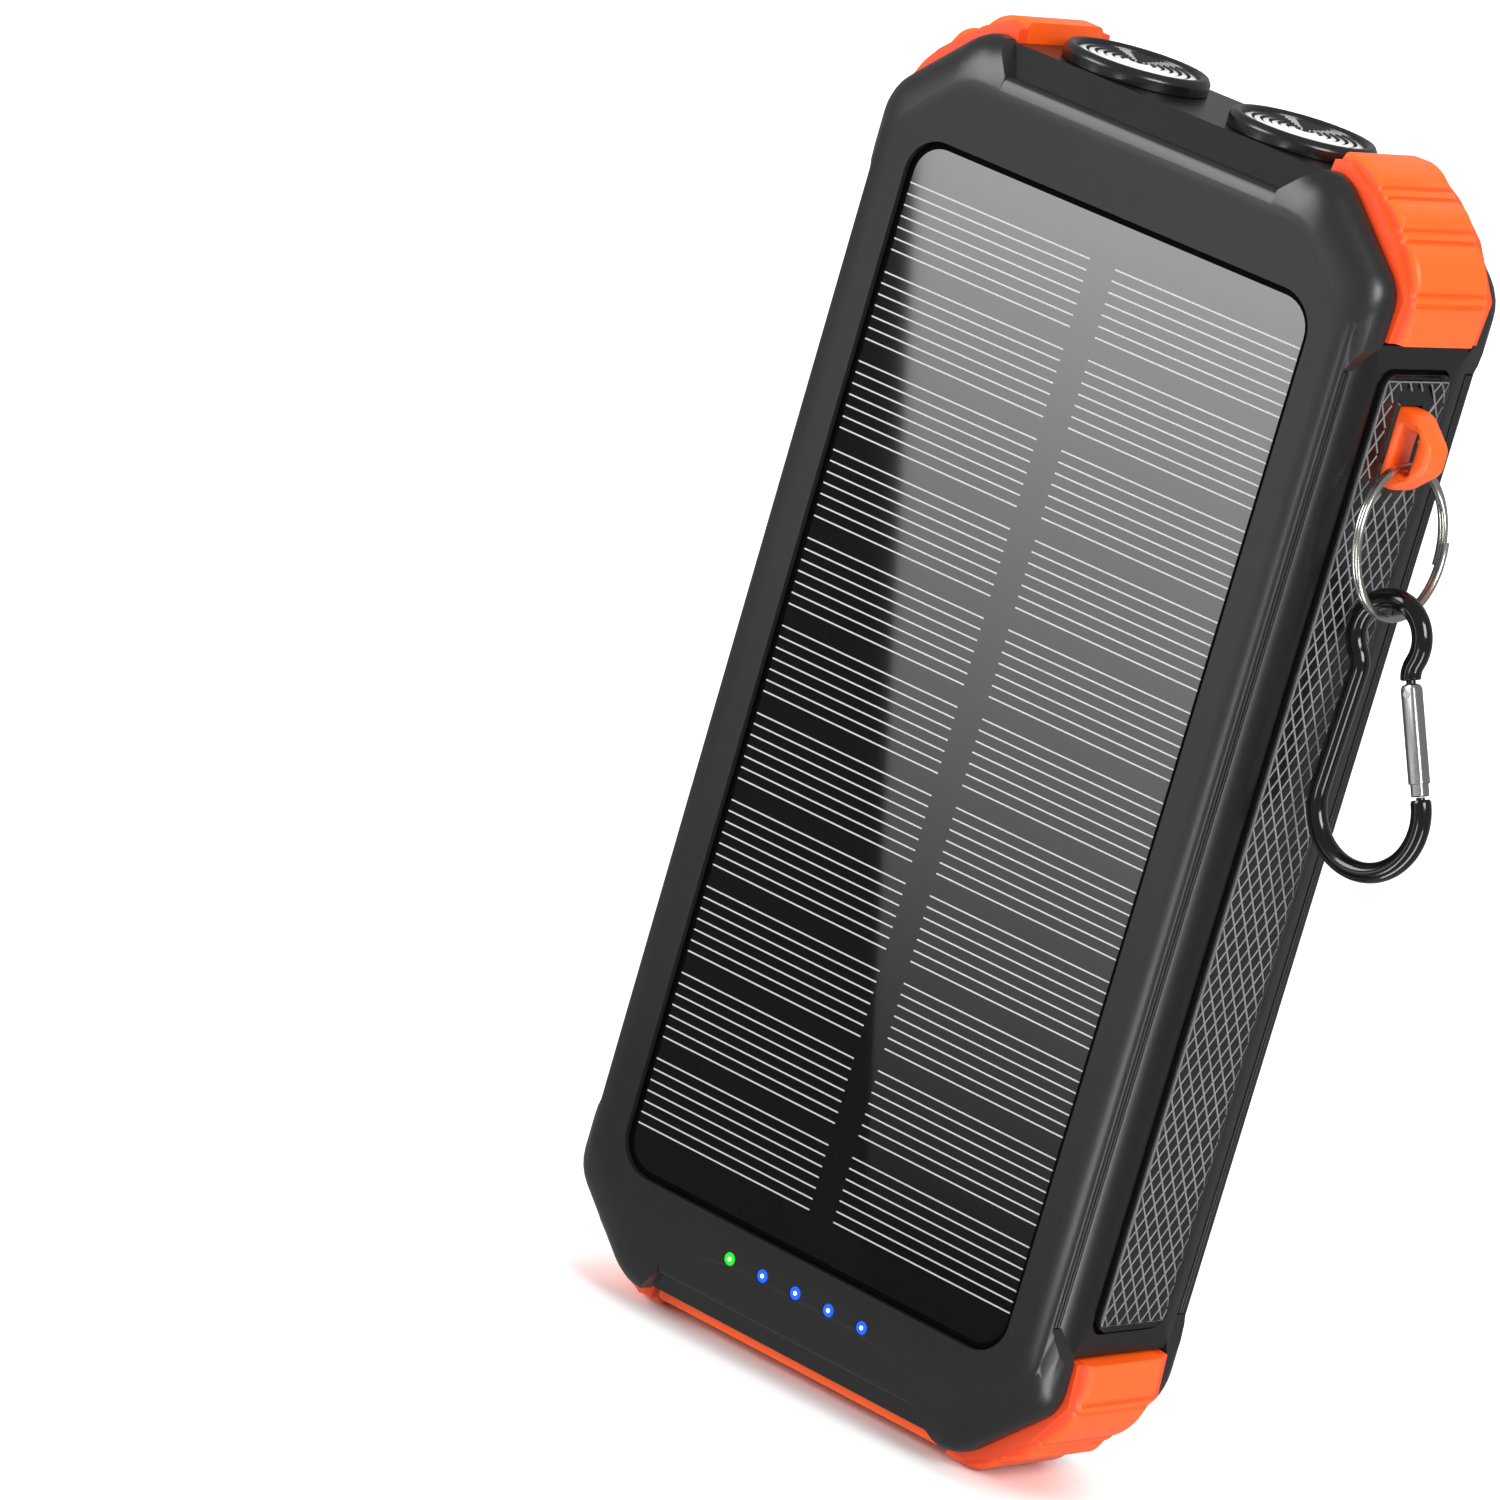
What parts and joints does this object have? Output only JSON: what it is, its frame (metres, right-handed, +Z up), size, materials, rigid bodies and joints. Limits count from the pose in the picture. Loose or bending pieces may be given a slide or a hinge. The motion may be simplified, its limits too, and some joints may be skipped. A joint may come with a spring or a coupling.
{
  "type": "solar phone charger",
  "caption": "Rugged upright solar phone charger with torches on top, stowed charging leads on the back, rubber corner bumpers, port flap and a carabiner lanyard.",
  "frame": {"origin": "centre of the plane on which the lower corner bumpers stand", "axes": "+Z up from the port end to the torch end, -Y out of the solar face, +Y out of the back with the leads, +X to the right seen from the front, towards the lanyard"},
  "size_m": [0.1001, 0.03, 0.171],
  "materials": {
    "casing_abs": "satin moulded black ABS",
    "cover_abs": "satin moulded charcoal ABS",
    "seal_rubber": "matte black silicone",
    "orange_tpu": "matte orange TPU",
    "grip_rubber": "knurled black TPU",
    "panel_glass": "glossy dark cover glass",
    "solar_cell": "black monocrystalline cells with silver print",
    "solar_backing": "matt black laminate",
    "led_green": "green lit light pipe",
    "led_blue": "blue lit light pipe",
    "led_white": "phosphor-coated LED",
    "bezel_plastic": "semi-gloss black plastic",
    "torch_lens": "clear moulded lens",
    "reflector_chrome": "vacuum-metallised reflector",
    "screw_steel": "nickel-plated steel",
    "lead_pvc": "matte black cable jacket",
    "plug_head": "matte black overmould",
    "plug_steel": "nickel-plated steel",
    "contact_gold": "gold plating",
    "circuit_board": "green solder mask",
    "ferrite": "sintered ferrite",
    "cell_pouch": "laminated aluminium pouch",
    "foam_pad": "open foam",
    "ring_nickel": "bright nickel-plated spring steel",
    "carabiner_black": "glossy black anodised aluminium",
    "gate_steel": "polished aluminium"
  },
  "bodies": {
    "unit": {"casing": "casing_abs", "front_frame": "cover_abs", "rear_cover": "cover_abs", "front_seal": "seal_rubber", "rear_seal": "seal_rubber", "bumper_top_left": "orange_tpu", "bumper_top_right": "orange_tpu", "bumper_bottom_left": "orange_tpu", "bumper_bottom_right": "orange_tpu", "grip_left": "grip_rubber", "grip_right": "grip_rubber", "button_switch": "circuit_board", "solar_glass": "panel_glass", "solar_cells": "solar_cell", "solar_backing": "solar_backing", "led_pipe_green": "led_green", "led_pipes_blue": "led_blue", "led_board": "circuit_board", "torch_bezel_left": "bezel_plastic", "torch_bezel_right": "bezel_plastic", "torch_lens_left": "torch_lens", "torch_lens_right": "torch_lens", "torch_reflector_left": "reflector_chrome", "torch_reflector_right": "reflector_chrome", "torch_leds": "led_white", "torch_board": "circuit_board", "cable_clamp": "cover_abs", "clamp_screws": "screw_steel", "corner_screws": "screw_steel", "lead_roots": "lead_pvc", "main_board": "circuit_board", "usb_port_left": "plug_steel", "usb_port_right": "plug_steel", "usb_c_port": "plug_steel", "board_coil": "ferrite", "board_chips": "bezel_plastic", "battery_cell_front": "cell_pouch", "battery_cell_back": "cell_pouch", "battery_pad": "foam_pad", "lanyard_loop": "orange_tpu"},
    "port_flap": {"port_cover": "orange_tpu"},
    "button": {"power_button": "orange_tpu"},
    "usb_c_cable": {"usb_c_lead": "lead_pvc", "usb_c_head": "plug_head", "usb_c_shell": "plug_steel"},
    "usb_a_cable": {"usb_a_lead": "lead_pvc", "usb_a_head": "plug_head", "usb_a_tongue": "bezel_plastic", "usb_a_contacts": "contact_gold"},
    "eight_pin_cable": {"eight_pin_lead": "lead_pvc", "eight_pin_head": "plug_head", "eight_pin_tab": "plug_steel"},
    "ring": {"split_ring": "ring_nickel"},
    "carabiner": {"carabiner_body": "carabiner_black", "gate_rivet": "gate_steel"},
    "gate": {"carabiner_gate": "gate_steel", "gate_spring": "gate_steel"}
  },
  "joints": [
    {"name": "port_cover_hinge", "type": "hinge", "parent": "unit", "child": "port_flap", "pos_m": [-0.0234, 0, 0.002], "axis": [0, 1, 0], "range_deg": [0, 90]},
    {"name": "button_press", "type": "slide", "parent": "unit", "child": "button", "axis": [1, 0, 0], "range_m": [0, 0.0006], "stiffness_N_per_m": 800, "springref_m": -0.0005},
    {"name": "usb_c_swing", "type": "hinge", "parent": "unit", "child": "usb_c_cable", "pos_m": [-0.013, 0.0104, 0.0029], "axis": [-1, 0, 0], "range_deg": [0, 80]},
    {"name": "usb_a_swing", "type": "hinge", "parent": "unit", "child": "usb_a_cable", "pos_m": [0, 0.0104, 0.0029], "axis": [-1, 0, 0], "range_deg": [0, 80]},
    {"name": "eight_pin_swing", "type": "hinge", "parent": "unit", "child": "eight_pin_cable", "pos_m": [0.013, 0.0104, 0.0029], "axis": [-1, 0, 0], "range_deg": [0, 80]},
    {"name": "ring_swing", "type": "hinge", "parent": "unit", "child": "ring", "pos_m": [0.0414, 0, 0.1371], "axis": [0, -1, 0], "range_deg": [0, 90]},
    {"name": "carabiner_swing", "type": "hinge", "parent": "ring", "child": "carabiner", "pos_m": [0.0453, 0, 0.11891], "axis": [0, -1, 0], "range_deg": [0, 90]},
    {"name": "gate_hinge", "type": "hinge", "parent": "carabiner", "child": "gate", "pos_m": [0.05124, 0, 0.11138], "axis": [0, 1, 0], "range_deg": [0, 26], "stiffness_Nm_per_rad": 0.02, "springref_deg": -20.05}
  ]
}
